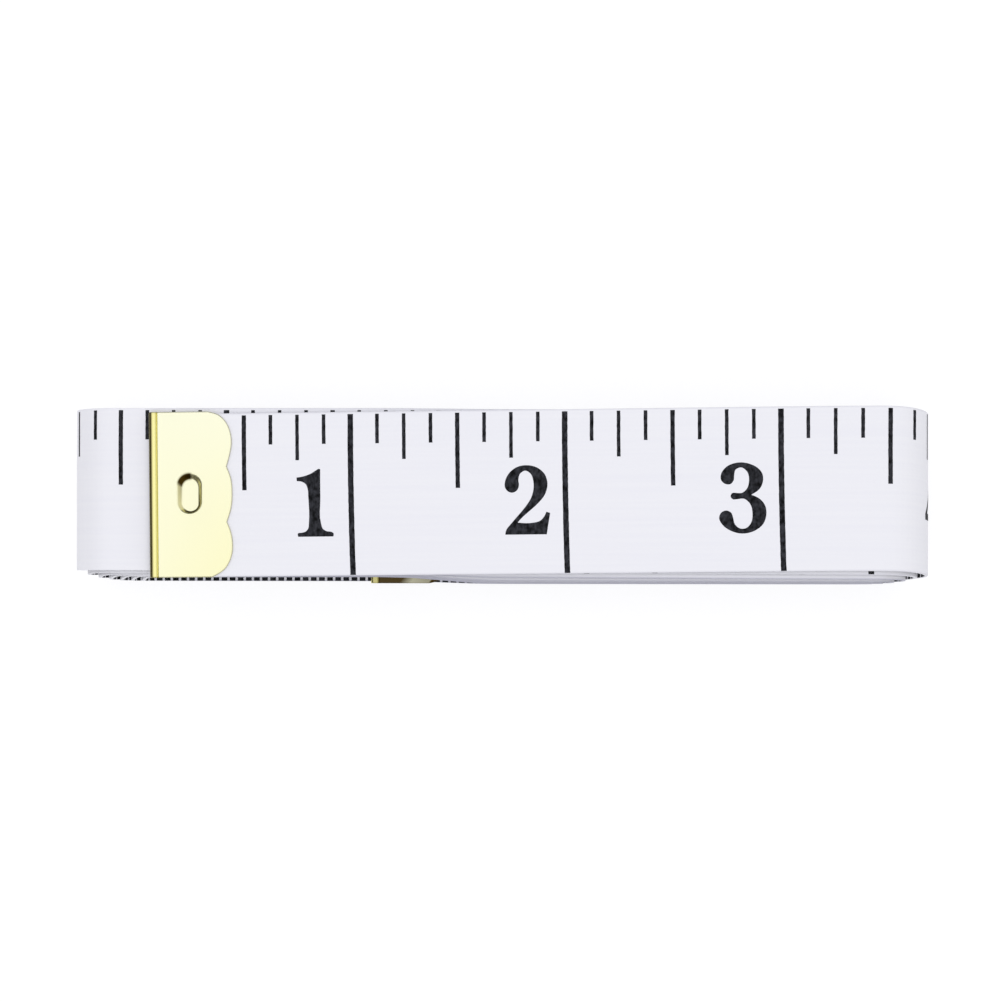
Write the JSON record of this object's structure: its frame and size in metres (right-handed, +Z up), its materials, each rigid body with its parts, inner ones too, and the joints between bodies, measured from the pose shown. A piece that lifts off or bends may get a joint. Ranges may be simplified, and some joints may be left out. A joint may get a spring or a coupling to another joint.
{
  "type": "cloth tape measure",
  "caption": "Flexible sewing tape wound into a flat oval pack, with a folded, scalloped brass clip on each end; the outermost lap lifts off.",
  "frame": {"origin": "middle of the bottom of the box round the whole winding, on the surface it lies on", "axes": "+X along the laps, from the clipped free end towards the bend where the top lap turns down; +Y across the tape, towards the edge that carries the inch marks; +Z up through the laps"},
  "size_m": [0.103, 0.021, 0.0122],
  "materials": {
    "tape": "woven glass fibre, vinyl coated, white with a faint lavender cast, printed scale in charcoal ink",
    "clip_brass": "stamped and polished pale brass"
  },
  "bodies": {
    "pack": {"wound_tape": "tape", "end_clip": "clip_brass"},
    "free_end": {"free_lap": "tape", "start_clip": "clip_brass"}
  },
  "joints": [
    {"name": "free_end_lift", "type": "hinge", "parent": "pack", "child": "free_end", "pos_m": [0.0454, 0.00076, 0.01188], "axis": [0, 1, 0], "range_deg": [0, 170]}
  ]
}
